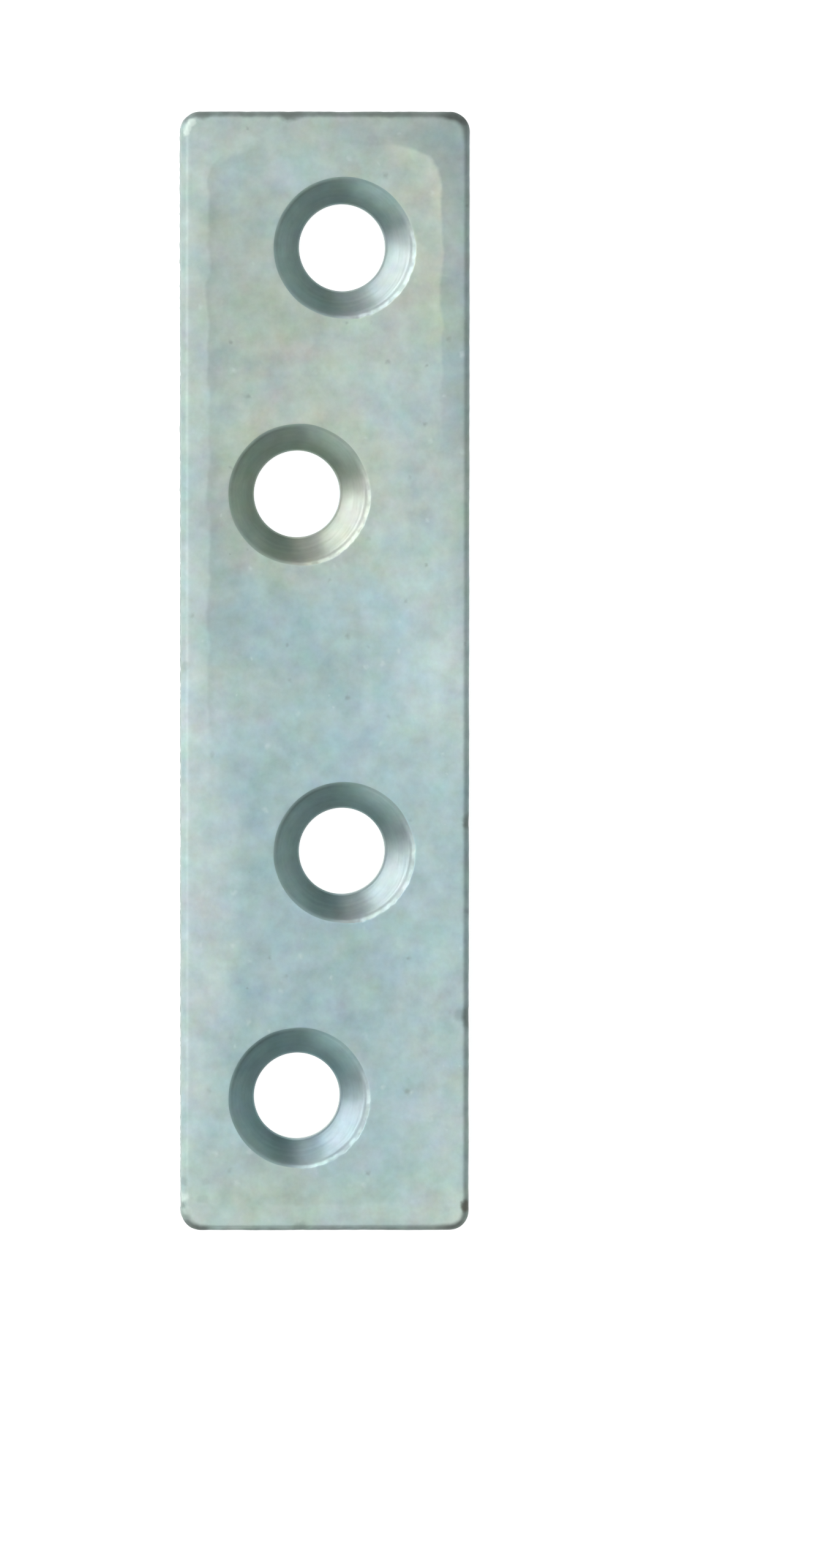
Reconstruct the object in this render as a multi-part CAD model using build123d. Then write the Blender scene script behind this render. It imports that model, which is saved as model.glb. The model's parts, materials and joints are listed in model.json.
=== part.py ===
from build123d import *
import os

# Flat mending plate: a short strip of zinc-plated steel that is screwed across a joint or a
# crack in timber to hold the two sides together. It is blanked and pierced from strip in one
# piece, so the whole object is one solid.
#
# The strip has rounded corners and four countersunk screw holes, two for each side of the
# joint. The holes are staggered about the strip's length, so that neighbouring screws don't
# enter the same line of grain and split it. The countersinks open on the front face, and the
# back face is flat, because it lies on the work.
#
# Frame, in millimetres: the origin is the centre of the back face, +Z points out of the front
# face, +Y runs along the strip and +X across it.

# Strip
plate_length = 62.0
plate_width = 16.0
plate_thickness = 2.0
corner_radius = 1.1
# The blanking die rolls the front edge over. The back edge only has its burr taken off.
front_edge_radius = 0.3
back_edge_radius = 0.1

# Screw holes, for a No. 8 or 4 mm countersunk wood screw
hole_diameter = 4.8
sink_diameter = 7.6
sink_angle = 90.0
sink_rim_radius = 0.15

# Hole pattern
end_distance = 7.5    # from each end of the strip to its outer hole
pair_spacing = 13.6   # along the strip, between the two holes on one side of the joint
stagger = 2.5         # across the strip, between the two lines of holes
row_shift = -0.25     # across the strip, from its centreline to the middle of the pattern


def hole_centres():
    """The four hole centres, from the +Y end to the -Y end, on alternating sides."""
    outer = plate_length / 2 - end_distance
    inner = outer - pair_spacing
    along = (outer, inner, -inner, -outer)
    across = (stagger / 2, -stagger / 2) * 2
    return [(row_shift + x, y) for x, y in zip(across, along)]


def make_mending_plate():
    """The whole plate: a rounded strip, its broken edges and the countersunk holes."""
    with BuildPart() as plate:
        with BuildSketch():
            RectangleRounded(plate_width, plate_length, corner_radius)
        extrude(amount=plate_thickness)

        fillet(plate.faces().sort_by(Axis.Z)[-1].edges(), front_edge_radius)
        fillet(plate.faces().sort_by(Axis.Z)[0].edges(), back_edge_radius)

        with Locations(Plane.XY.offset(plate_thickness)):
            with Locations(*hole_centres()):
                CounterSinkHole(
                    radius=hole_diameter / 2,
                    counter_sink_radius=sink_diameter / 2,
                    counter_sink_angle=sink_angle,
                )

        front_face = plate.faces().sort_by(Axis.Z)[-1]
        fillet(front_face.inner_wires().edges(), sink_rim_radius)
    return plate.part


os.makedirs("parts", exist_ok=True)
export_step(make_mending_plate(), "parts/mending_plate.step")
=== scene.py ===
"""Dresses the flat mending plate: the zinc-plated strip, its four countersunk holes and the studio."""

import json
import logging
import math
from collections.abc import Iterable
from dataclasses import dataclass, fields
from enum import Enum

import bmesh
import bpy
import numpy as np
from mathutils import Matrix, Vector, geometry, noise


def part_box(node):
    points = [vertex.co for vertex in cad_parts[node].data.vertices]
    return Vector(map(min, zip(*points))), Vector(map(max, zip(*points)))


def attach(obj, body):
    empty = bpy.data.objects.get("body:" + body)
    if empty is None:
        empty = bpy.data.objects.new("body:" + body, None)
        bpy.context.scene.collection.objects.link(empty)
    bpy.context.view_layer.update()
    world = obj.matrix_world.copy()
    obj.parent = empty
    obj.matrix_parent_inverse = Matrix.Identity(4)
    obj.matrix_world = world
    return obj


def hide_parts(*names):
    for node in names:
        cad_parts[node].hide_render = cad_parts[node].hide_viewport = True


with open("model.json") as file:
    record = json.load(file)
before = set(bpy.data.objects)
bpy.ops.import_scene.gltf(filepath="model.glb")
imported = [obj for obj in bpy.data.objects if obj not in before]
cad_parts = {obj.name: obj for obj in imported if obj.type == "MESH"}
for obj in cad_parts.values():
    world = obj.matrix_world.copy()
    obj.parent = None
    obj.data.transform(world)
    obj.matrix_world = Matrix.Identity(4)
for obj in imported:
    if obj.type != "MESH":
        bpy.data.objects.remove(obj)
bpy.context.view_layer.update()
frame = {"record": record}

LOG = logging.getLogger("mending_plate")
NODE = "mending_plate"
BODY = "root"
MM = 0.001
FAR = 1e6
TINY = 1e-12
FLAT = 1e-7  # how far a vertex may lie off its face's level, in metres
WELD = FLAT * 10
SLIVER = 1e-3  # the least area of a triangle, next to the square of its longest side
LIT_TORN_SIDE = (0.8, -0.6)  # the direction in which the bit tore each countersink's rim, which faces the lights; the cone is painted lighter on this side as a painted highlight
BLACK = (0.0, 0.0, 0.0, 1.0)
WHITE = (1.0, 1.0, 1.0, 1.0)
SOCKET_KINDS = {float: "Float", int: "Int"}

Tree = bpy.types.NodeTree
Node = bpy.types.Node
Socket = bpy.types.NodeSocket
Material = bpy.types.Material
Mesh = bpy.types.Mesh
Value = float | int | tuple | Socket


# Node trees

class NodeBuilder:
    """Adds nodes to one tree, and links or sets their inputs by name."""

    def __init__(self, tree: Tree) -> None:
        """Keeps the tree that the nodes go into."""
        self.tree = tree

    def add(self, kind: str, inputs: dict | None = None, **settings: object) -> Node:
        """Adds one node.

        Args:
            kind: The node's type, such as "ShaderNodeMath".
            inputs: Socket name or number to its value, or to the output that feeds it.
            settings: The node's own properties, set before its inputs.

        Returns:
            The new node.
        """
        node = self.tree.nodes.new(kind)
        for name, value in settings.items():
            setattr(node, name, value)
        for name, value in (inputs or {}).items():
            self.feed(node.inputs[name], value)
        return node

    def feed(self, socket: Socket, value: Value) -> None:
        """Links an output to the socket, or sets the socket's own value.

        Args:
            socket: The input.
            value: The output that feeds it, or its own value.
        """
        if isinstance(value, Socket):
            self.tree.links.new(value, socket)
        else:
            socket.default_value = value

    def maths(self, operation: str, *values: Value) -> Socket:
        """Adds one Math node on one to three numbers, and returns its output."""
        return self.add("ShaderNodeMath", dict(enumerate(values)), operation=operation).outputs[0]

    def plus(self, first: Value, second: Value) -> Socket:
        """Adds two numbers."""
        return self.maths("ADD", first, second)

    def minus(self, first: Value, second: Value) -> Socket:
        """Takes the second number from the first."""
        return self.maths("SUBTRACT", first, second)

    def times(self, first: Value, second: Value) -> Socket:
        """Multiplies two numbers."""
        return self.maths("MULTIPLY", first, second)

    def vector(self, x: Value = 0.0, y: Value = 0.0, z: Value = 0.0) -> Socket:
        """Joins three numbers into a vector."""
        return self.add("ShaderNodeCombineXYZ", {"X": x, "Y": y, "Z": z}).outputs[0]

    def parts(self, vector: Value) -> list[Socket]:
        """The X, Y and Z of a vector."""
        return list(self.add("ShaderNodeSeparateXYZ", {0: vector}).outputs)


class ShaderBuilder(NodeBuilder):
    """Node helpers for materials and shader node groups."""

    def vectors(self, operation: str, *values: Value) -> Socket:
        """Adds one Vector Math node on one to three vectors, and returns the vector that it makes."""
        node = self.add("ShaderNodeVectorMath", dict(enumerate(values)), operation=operation)
        return node.outputs["Vector"]

    def scaled(self, vector: Value, factor: Value) -> Socket:
        """Scales a vector by a number."""
        inputs = {0: vector, "Scale": factor}
        return self.add("ShaderNodeVectorMath", inputs, operation="SCALE").outputs["Vector"]

    def moved(self, place: Value, offset: Value) -> Socket:
        """Moves a place by a vector."""
        return self.vectors("ADD", place, offset)

    def length(self, vector: Value) -> Socket:
        """The length of a vector."""
        return self.add("ShaderNodeVectorMath", {0: vector}, operation="LENGTH").outputs["Value"]

    def ramp(self, value: Value, low: Value, high: Value) -> Socket:
        """Runs smoothly from 0 where value is at low to 1 where it is at high."""
        inputs = {"Value": value, "From Min": low, "From Max": high}
        return self.add("ShaderNodeMapRange", inputs, interpolation_type="SMOOTHSTEP").outputs["Result"]

    def between(self, share: Value, low: Value, high: Value) -> Socket:
        """Runs evenly from low to high as share runs from 0 to 1."""
        return self.maths("MULTIPLY_ADD", share, self.minus(high, low), low)

    def blend(self, share: Value, first: Value, second: Value, way: str = "MIX") -> Socket:
        """Mixes two colours.

        Args:
            share: How much of the second colour is used.
            first: The first colour.
            second: The second colour.
            way: The blend type, such as "MULTIPLY".

        Returns:
            The mixed colour.
        """
        inputs = {0: share, 6: first, 7: second}
        return self.add("ShaderNodeMix", inputs, data_type="RGBA", blend_type=way).outputs[2]

    def tinted(self, colour: Value, tint: Value) -> Socket:
        """Multiplies a colour by another."""
        return self.blend(1.0, colour, tint, "MULTIPLY")

    def noise(self, place: Value, size: Value, detail: float = 2.0, roughness: float = 0.5) -> Node:
        """Adds a noise texture.

        Args:
            place: Where it is read.
            size: About how wide its blotches are, in the units of place.
            detail: How many finer layers it has.
            roughness: How strong each finer layer is, next to the one before.

        Returns:
            The node: output 0 is a number about 0.5, and output 1 a colour.
        """
        scale = self.maths("DIVIDE", 1.0, size)
        inputs = {"Vector": place, "Scale": scale, "Detail": detail, "Roughness": roughness}
        return self.add("ShaderNodeTexNoise", inputs)

    def drift(self, place: Value, size: Value, detail: float = 2.0, roughness: float = 0.5) -> Socket:
        """A vector that wanders over the surface about nought. Its arguments are those of noise."""
        wander = self.noise(place, size, detail, roughness).outputs[1]
        return self.vectors("SUBTRACT", wander, (0.5, 0.5, 0.5))

    def centred(self, value: Value, reach: Value) -> Socket:
        """Moves a value between 0 and 1 to lie between minus and plus half of reach."""
        return self.times(self.minus(value, 0.5), reach)

    def group(self, tree: Tree, inputs: dict) -> bpy.types.NodeOutputs:
        """Places a shader node group with its own values, and returns its outputs."""
        return self.add("ShaderNodeGroup", inputs, node_tree=tree).outputs


class GeometryBuilder(NodeBuilder):
    """Node helpers for geometry trees. A profile has X out of its path and Y down from the front face."""

    def line(self, start: Value, end: Value, points: int) -> Socket:
        """A straight run of a profile, divided evenly.

        Args:
            start: Where it starts.
            end: Where it ends.
            points: How many points it has.

        Returns:
            The run's curve.
        """
        run = self.add("GeometryNodeCurvePrimitiveLine", {"Start": start, "End": end}).outputs["Curve"]
        inputs = {"Curve": run, "Count": points}
        return self.add("GeometryNodeResampleCurve", inputs, mode="COUNT").outputs["Curve"]

    def arc(self, centre: Value, radius: Value, start: float, sweep: float, points: int) -> Socket:
        """A round stretch of a profile.

        Args:
            centre: The arc's centre.
            radius: Its radius.
            start: Its first angle, in degrees from X towards Y.
            sweep: How far it turns, in degrees.
            points: How many points it has.

        Returns:
            The arc's curve.
        """
        inputs = {
            "Resolution": points,
            "Radius": radius,
            "Start Angle": math.radians(start),
            "Sweep Angle": math.radians(sweep),
        }
        return self.moved(self.add("GeometryNodeCurveArc", inputs, mode="RADIUS").outputs["Curve"], centre)

    def moved(self, shape: Value, offset: Value) -> Socket:
        """Moves a curve or a mesh."""
        inputs = {"Geometry": shape, "Translation": offset}
        return self.add("GeometryNodeTransform", inputs).outputs["Geometry"]

    def swept(self, path: Value, profiles: list[Value]) -> Socket:
        """Sweeps the stretches of a profile along one path and welds them into one skin.

        Args:
            path: The path's curve.
            profiles: The curves of the stretches, in order.

        Returns:
            The skin's mesh.
        """
        skin = self.add("GeometryNodeJoinGeometry")
        for profile in profiles:
            inputs = {"Curve": path, "Profile Curve": profile}
            strip = self.add("GeometryNodeCurveToMesh", inputs).outputs["Mesh"]
            self.tree.links.new(strip, skin.inputs[0])
        inputs = {"Geometry": skin.outputs[0], "Distance": WELD}
        return self.add("GeometryNodeMergeByDistance", inputs).outputs["Geometry"]

    def realized(self, shape: Value) -> Socket:
        """Makes instances real."""
        return self.add("GeometryNodeRealizeInstances", {"Geometry": shape}).outputs["Geometry"]

    def dressed(self, shape: Value, material: Value, chosen: Value = True) -> Socket:
        """Gives the chosen faces a material."""
        inputs = {"Geometry": shape, "Selection": chosen, "Material": material}
        return self.add("GeometryNodeSetMaterial", inputs).outputs["Geometry"]

    def height(self) -> Socket:
        """How high a place lies above the back face."""
        return self.parts(self.add("GeometryNodeInputPosition").outputs[0])[2]


def new_tree(
    kind: type[NodeBuilder], name: str, inputs: dict[str, str], outputs: dict[str, str]
) -> tuple[NodeBuilder, bpy.types.NodeOutputs, bpy.types.NodeInputs]:
    """Makes an empty node group.

    Args:
        kind: GeometryBuilder for a geometry tree, ShaderBuilder for a shader group.
        name: The group's name.
        inputs: The name of each input and its kind, such as "Float".
        outputs: The same for the outputs.

    Returns:
        The group's builder, the sockets that bring its inputs, and those that take its outputs.
    """
    tree_type = "GeometryNodeTree" if kind is GeometryBuilder else "ShaderNodeTree"
    tree = bpy.data.node_groups.new(name, tree_type)
    for way, sockets in (("INPUT", inputs), ("OUTPUT", outputs)):
        for label, sort in sockets.items():
            tree.interface.new_socket(label, in_out=way, socket_type=f"NodeSocket{sort}")
    builder = kind(tree)
    return builder, builder.add("NodeGroupInput").outputs, builder.add("NodeGroupOutput").inputs


def named_sizes(piece: object) -> dict[str, float | int]:
    """The plain sizes of a piece, each under the name of its input in the piece's geometry tree."""
    names = [field.name for field in fields(piece) if field.type in SOCKET_KINDS]
    return {name.replace("_", " ").title(): getattr(piece, name) for name in names}


def grown(tree: Tree, values: dict, base: Mesh | None = None) -> Mesh:
    """Runs a geometry tree once and keeps what it makes as a plain mesh.

    Args:
        tree: The geometry tree.
        values: The name of each of its inputs and the value to give it.
        base: The mesh that it starts from, if it needs one.

    Returns:
        The plain mesh.
    """
    holder = bpy.data.objects.new(tree.name, base or bpy.data.meshes.new(tree.name))
    bpy.context.scene.collection.objects.link(holder)
    modifier = holder.modifiers.new(tree.name, "NODES")
    modifier.node_group = tree
    for item in tree.interface.items_tree:
        if item.item_type == "SOCKET" and item.in_out == "INPUT" and item.name in values:
            modifier[item.identifier] = values[item.name]
    made = bpy.data.meshes.new_from_object(holder.evaluated_get(bpy.context.evaluated_depsgraph_get()))
    holder.modifiers.remove(modifier)
    bpy.data.objects.remove(holder)
    return made


# Effects that several finishes share. Places and sizes are in millimetres.

class Effects:
    """The shader node groups, each built once."""

    def __init__(self) -> None:
        """Builds every group."""
        self.grain = self._grain()
        self.specks = self._specks()
        self.patch = self._patch()
        self.frame_line = self._frame_line()
        self.rings = self._rings()
        self.stain = self._stain()

    def _grain(self) -> Tree:
        """The crystalline grain of the zinc. Color multiplies a base colour, and Height is 0 to 1.

        Returns:
            The group's tree.
        """
        inputs = {"Place": "Vector", "Size": "Float", "Tone Reach": "Float", "Tint Reach": "Float"}
        b, given, out = new_tree(ShaderBuilder, "Zinc grain", inputs, {"Color": "Color", "Height": "Float"})
        tones = b.noise(given["Place"], given["Size"], 5.0, 0.62).outputs[0]
        tone = b.plus(b.centred(tones, b.times(given["Tone Reach"], 2.0)), 1.0)
        elsewhere = b.moved(given["Place"], (31.0, 17.0, 5.0))
        tint = b.drift(elsewhere, b.times(given["Size"], 1.3), 5.0, 0.62)
        tint = b.scaled(b.vectors("MULTIPLY", tint, (2.0, 1.3, 2.0)), given["Tint Reach"])
        b.feed(out["Color"], b.vectors("ADD", b.vector(tone, tone, tone), tint))
        b.feed(out["Height"], tones)
        return b.tree

    def _specks(self) -> Tree:
        """Scattered uneven specks, such as pits or bright grains. Mask is 1 in the middle of each.

        Returns:
            The group's tree.
        """
        inputs = {"Place": "Vector", "Spacing": "Float", "Size": "Float", "Share": "Float"}
        b, given, out = new_tree(ShaderBuilder, "Specks", inputs, {"Mask": "Float"})
        bent = b.drift(given["Place"], b.times(given["Size"], 1.5))
        uneven = b.moved(given["Place"], b.scaled(bent, b.times(given["Size"], 1.6)))
        scale = b.maths("DIVIDE", 1.0, given["Spacing"])
        cells = b.add("ShaderNodeTexVoronoi", {"Vector": uneven, "Scale": scale}).outputs
        chance, size, _ = b.parts(cells["Color"])
        reach = b.maths("DIVIDE", given["Size"], given["Spacing"])
        spot = b.ramp(cells["Distance"], b.times(reach, b.plus(size, 0.5)), 0.0)
        b.feed(out["Mask"], b.times(spot, b.maths("LESS_THAN", chance, given["Share"])))
        return b.tree

    def _patch(self) -> Tree:
        """One soft oval patch: of a film, of painted shade, of a painted highlight and of a mark.

        Returns:
            The group's tree.
        """
        inputs = {"Place": "Vector", "Centre": "Vector", "Reach": "Vector", "Softness": "Float"}
        b, given, out = new_tree(ShaderBuilder, "Film patch", inputs, {"Mask": "Float"})
        away = b.vectors("SUBTRACT", given["Place"], given["Centre"])
        share = b.length(b.vectors("DIVIDE", away, given["Reach"]))
        outer, inner = b.plus(1.0, given["Softness"]), b.minus(1.0, given["Softness"])
        b.feed(out["Mask"], b.ramp(share, outer, inner))
        return b.tree

    def _frame_line(self) -> Tree:
        """How far a place lies outside a rounded rectangle. The distance is negative inside it.

        Returns:
            The group's tree.
        """
        inputs = {"Place": "Vector", "Centre": "Vector", "Half Width": "Float", "Half Length": "Float"}
        inputs |= {"Corner Radius": "Float"}
        b, given, out = new_tree(ShaderBuilder, "Frame line", inputs, {"Distance": "Float"})
        x, y, _ = b.parts(b.vectors("ABSOLUTE", b.vectors("SUBTRACT", given["Place"], given["Centre"])))
        radius = given["Corner Radius"]
        across = b.minus(x, b.minus(given["Half Width"], radius))
        along = b.minus(y, b.minus(given["Half Length"], radius))
        corner = b.length(b.vector(b.maths("MAXIMUM", across, 0.0), b.maths("MAXIMUM", along, 0.0)))
        inner = b.maths("MINIMUM", b.maths("MAXIMUM", across, along), 0.0)
        b.feed(out["Distance"], b.minus(b.plus(corner, inner), radius))
        return b.tree

    def _rings(self) -> Tree:
        """Rings that a countersink bit leaves. Place counts from the hole's axis.

        Returns:
            The group's tree.
        """
        inputs = {"Place": "Vector", "Pitch": "Float", "Tone Reach": "Float"}
        outputs = {"Tone": "Float", "Height": "Float"}
        b, given, out = new_tree(ShaderBuilder, "Turned rings", inputs, outputs)
        x, y, _ = b.parts(given["Place"])
        radius = b.length(b.vector(x, y))
        drift = b.moved(b.scaled(given["Place"], 0.06), b.vector(radius))
        height = b.noise(drift, given["Pitch"]).outputs[0]
        b.feed(out["Tone"], b.centred(height, b.times(given["Tone Reach"], 2.0)))
        b.feed(out["Height"], height)
        return b.tree

    def _stain(self) -> Tree:
        """A colour that covers the finish below it and makes it rougher: stains, the painted edge shade and
        painted highlights all go on this way.

        Returns:
            The group's tree.
        """
        inputs = {"Color": "Color", "Roughness": "Float", "Mask": "Float", "Stain": "Color"}
        inputs |= {"Stain Roughness": "Float"}
        outputs = {"Color": "Color", "Roughness": "Float"}
        b, given, out = new_tree(ShaderBuilder, "Stain", inputs, outputs)
        b.feed(out["Color"], b.blend(given["Mask"], given["Color"], given["Stain"]))
        b.feed(out["Roughness"], b.between(given["Mask"], given["Roughness"], given["Stain Roughness"]))
        return b.tree


class Tint(Enum):
    """The tints of the passivated film, each as a linear colour that multiplies the zinc."""

    STRAW = (1.12, 1.00, 0.80, 1.0)
    OLIVE = (0.98, 0.98, 0.82, 1.0)
    BLUE = (0.84, 0.98, 1.10, 1.0)
    # PALE and DULL only lighten and darken; in the countersinks some of them are painted shade and a
    # painted highlight.
    PALE = (1.25, 1.25, 1.25, 1.0)
    MILKY = (1.30, 1.17, 1.11, 1.0)
    DULL = (0.75, 0.75, 0.75, 1.0)


class Zone(Enum):
    """The part of the front face that a patch keeps to."""

    FACE = "Face"
    BAND = "Band"
    RIM = "Rim"


@dataclass(frozen=True)
class TintPatch:
    """One patch of tint, in millimetres from the plate's centre: tinted film on the front face and in the
    countersinks, where some patches are painted shade and a painted highlight.
    """

    tint: Tint
    share: float
    x: float
    y: float
    half_width: float
    half_length: float
    softness: float = 0.6
    zone: Zone = Zone.FACE


FILM = (
    TintPatch(Tint.BLUE, 0.80, 0.0, -42.0, 40.0, 47.0, 0.23),
    TintPatch(Tint.STRAW, 0.30, 5.2, 24.0, 1.8, 5.5),
    TintPatch(Tint.STRAW, 0.20, 0.0, 18.2, 5.0, 3.0),
    TintPatch(Tint.OLIVE, 0.25, -4.6, 22.0, 1.8, 4.6),
    TintPatch(Tint.STRAW, 0.40, -1.5, 9.9, 5.0, 5.2, 0.25),
    TintPatch(Tint.BLUE, 0.30, -3.6, 27.6, 3.0, 1.8),
    TintPatch(Tint.BLUE, 0.25, -1.5, 3.4, 5.5, 2.4),
    TintPatch(Tint.BLUE, 0.30, 4.0, 15.6, 4.6, 2.8),
    TintPatch(Tint.BLUE, 0.25, -7.0, 11.6, 1.8, 2.5),
    TintPatch(Tint.STRAW, 0.25, -5.2, -0.6, 2.2, 1.6),
    TintPatch(Tint.STRAW, 0.45, -3.6, -28.2, 3.4, 1.7),
    TintPatch(Tint.STRAW, 0.30, 1.0, -32.0, 12.0, 4.0),
    TintPatch(Tint.STRAW, 0.25, 8.4, -21.0, 3.6, 11.0),
    TintPatch(Tint.MILKY, 0.35, 2.0, -32.0, 10.0, 3.6),
    TintPatch(Tint.MILKY, 0.25, 7.8, -26.0, 3.0, 6.0),
    TintPatch(Tint.MILKY, 0.40, 7.4, -1.0, 3.0, 4.0),
    TintPatch(Tint.DULL, 0.36, -5.3, 22.6, 2.2, 4.8, 0.8),
    TintPatch(Tint.DULL, 0.30, -1.8, 20.2, 2.4, 1.8, 0.8),
    TintPatch(Tint.DULL, 0.20, -2.5, 31.0, 7.0, 2.6, 0.7),
    TintPatch(Tint.DULL, 0.25, -7.6, 0.2, 1.4, 2.0, 0.8),
    TintPatch(Tint.DULL, 0.20, 7.4, 12.0, 2.0, 6.0, 0.8),
    TintPatch(Tint.DULL, 0.40, -5.6, 6.2, 1.5, 4.6, 0.8),
    TintPatch(Tint.PALE, 0.35, 3.6, 15.5, 3.6, 3.6, 0.9),
    TintPatch(Tint.PALE, 0.50, 5.0, 4.6, 3.4, 6.5, 0.8),
    TintPatch(Tint.PALE, 0.20, 6.9, -1.0, 1.6, 2.8, 0.7),
    TintPatch(Tint.PALE, 0.28, 5.0, -6.0, 4.5, 6.0, 0.8),
    TintPatch(Tint.PALE, 0.40, 6.9, -16.5, 2.6, 5.0, 0.8),
    TintPatch(Tint.PALE, 0.25, 6.9, -25.5, 3.2, 5.0, 0.8),
    TintPatch(Tint.PALE, 0.16, 0.0, -26.5, 6.5, 3.0, 0.8),
    TintPatch(Tint.PALE, 0.30, -5.6, -1.5, 2.0, 2.6, 0.7),
    TintPatch(Tint.DULL, 0.18, 0.0, 0.2, 1.8, 1.2, 0.9),
    TintPatch(Tint.DULL, 0.20, 0.2, -16.8, 2.4, 2.6, 0.9),
    TintPatch(Tint.DULL, 0.14, -4.0, -12.5, 1.4, 8.5, 0.8),
    TintPatch(Tint.MILKY, 1.00, -8.2, -13.5, 2.7, 16.0, 0.55),
    TintPatch(Tint.PALE, 0.38, -8.0, 14.0, 2.4, 19.0, 0.3, Zone.BAND),
    TintPatch(Tint.PALE, 0.40, -5.4, 28.9, 1.5, 0.5, 0.6),
    TintPatch(Tint.PALE, 0.25, 0.0, -32.0, 12.0, 3.5, 0.3, Zone.BAND),
    TintPatch(Tint.DULL, 0.60, 8.0, 31.0, 6.0, 5.0, 0.5, Zone.BAND),
    TintPatch(Tint.DULL, 0.45, 8.0, 22.0, 3.0, 9.0, 0.5, Zone.BAND),
    TintPatch(Tint.BLUE, 0.30, 8.0, 24.0, 4.0, 9.0, 0.5, Zone.BAND),
    TintPatch(Tint.STRAW, 0.15, 6.2, 24.5, 1.6, 6.0, 0.5, Zone.RIM),
    TintPatch(Tint.PALE, 0.40, 6.0, 25.0, 2.0, 6.5, 0.5, Zone.RIM),
    TintPatch(Tint.DULL, 0.35, -6.2, 23.0, 1.0, 7.0, 0.4, Zone.RIM),
    TintPatch(Tint.DULL, 0.35, -6.2, 4.0, 1.0, 8.0, 0.9, Zone.RIM),
)

# The blue and straw patches tint each hole's film. The dull patches at (-0.6, -7.2) and (-3.1, -20.8) are
# painted shade on the side of their cones away from the lights, the pale patch at (-0.9, -26.6) is a
# painted highlight, and the other dull patches darken parts of the cones.
SINK_FILM_AND_PAINTED_LIGHT = (
    TintPatch(Tint.BLUE, 0.15, 1.0, 23.5, 4.2, 4.2),
    TintPatch(Tint.STRAW, 0.60, -1.5, 9.9, 4.2, 4.2),
    TintPatch(Tint.BLUE, 0.50, 1.0, -9.9, 4.2, 4.2),
    TintPatch(Tint.BLUE, 0.80, -1.5, -23.5, 4.2, 4.2),
    TintPatch(Tint.DULL, 0.28, 3.4, -11.6, 3.6, 3.6),
    TintPatch(Tint.DULL, 0.50, -0.6, -7.2, 1.8, 1.8, 0.5),
    TintPatch(Tint.DULL, 0.75, -3.1, -20.8, 1.8, 1.8, 0.5),
    TintPatch(Tint.DULL, 0.55, 0.9, -25.5, 1.9, 1.9, 0.4),
    TintPatch(Tint.PALE, 1.00, -0.9, -26.6, 1.0, 1.0, 0.5),
)


class Stain(Enum):
    """What an edge mark shows, each as a linear colour: RUST and STEEL are stains, and BRIGHT is a bright
    patch, on the top left corner a painted highlight.
    """

    RUST = (0.130, 0.130, 0.105, 1.0)
    STEEL = (0.17, 0.205, 0.19, 1.0)
    BRIGHT = (0.72, 0.82, 0.76, 1.0)


@dataclass(frozen=True)
class EdgeMark:
    """One mark at the edge, in millimetres: its place, its reach, how deep it dents and what it shows. Most
    are knocks; the three bright ones at the top left corner are a painted highlight on the rolled edge.
    """

    x: float
    y: float
    half_width: float
    half_length: float
    depth: float
    stain: Stain
    share: float = 0.8


EDGE_MARKS = (
    EdgeMark(-1.95, 30.85, 0.65, 0.36, 0.015, Stain.STEEL, 0.74),
    EdgeMark(-4.3, 30.95, 0.45, 0.30, 0.01, Stain.STEEL, 0.40),
    EdgeMark(3.4, 30.95, 0.60, 0.32, 0.01, Stain.STEEL, 0.40),
    EdgeMark(-6.85, 30.85, 0.45, 0.32, 0.01, Stain.STEEL, 0.55),
    EdgeMark(7.95, -8.25, 0.36, 0.42, 0.012, Stain.STEEL, 0.75),
    EdgeMark(7.95, -19.1, 0.36, 0.60, 0.012, Stain.STEEL, 0.70),
    EdgeMark(7.45, -18.95, 0.30, 0.36, 0.0, Stain.STEEL, 0.28),
    EdgeMark(7.76, -29.58, 0.25, 0.31, 0.025, Stain.RUST, 0.80),
    EdgeMark(7.32, -30.20, 0.25, 0.25, 0.0, Stain.BRIGHT, 0.16),
    EdgeMark(-7.95, -28.95, 0.38, 0.26, 0.03, Stain.BRIGHT, 0.38),
    EdgeMark(-7.70, -29.70, 0.26, 0.24, 0.0, Stain.BRIGHT, 0.22),
    EdgeMark(-7.97, -29.42, 0.17, 0.18, 0.01, Stain.STEEL, 0.36),
    EdgeMark(-6.83, -29.10, 0.34, 0.24, 0.0, Stain.STEEL, 0.18),
    EdgeMark(-7.84, -28.10, 0.22, 0.28, 0.0, Stain.STEEL, 0.24),
    EdgeMark(-6.68, -28.15, 0.24, 0.20, 0.0, Stain.STEEL, 0.13),
    EdgeMark(-7.76, 0.42, 0.24, 0.24, 0.01, Stain.STEEL, 0.20),
    EdgeMark(-1.35, -30.80, 0.40, 0.40, 0.01, Stain.STEEL, 0.35),
    # Painted highlight: a streak of light on the top left corner's rolled edge, with no dent.
    EdgeMark(-7.73, 29.86, 0.16, 0.24, 0.0, Stain.BRIGHT, 0.62),
    EdgeMark(-7.58, 30.12, 0.17, 0.22, 0.0, Stain.BRIGHT, 0.58),
    EdgeMark(-7.40, 30.36, 0.20, 0.17, 0.0, Stain.BRIGHT, 0.62),
)


# Finishes. Places, sizes and bump depths are in millimetres. A pair says where a change starts and ends.

def new_material(name: str) -> tuple[Material, Tree, Node]:
    """Makes a material with one Principled shader.

    Args:
        name: The material's name.

    Returns:
        The material, its tree and its Principled node.
    """
    material = bpy.data.materials.new(name)
    material.use_nodes = True
    material.node_tree.nodes.clear()
    b = NodeBuilder(material.node_tree)
    shader = b.add("ShaderNodeBsdfPrincipled")
    b.add("ShaderNodeOutputMaterial", {"Surface": shader.outputs[0]})
    return material, material.node_tree, shader


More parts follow.
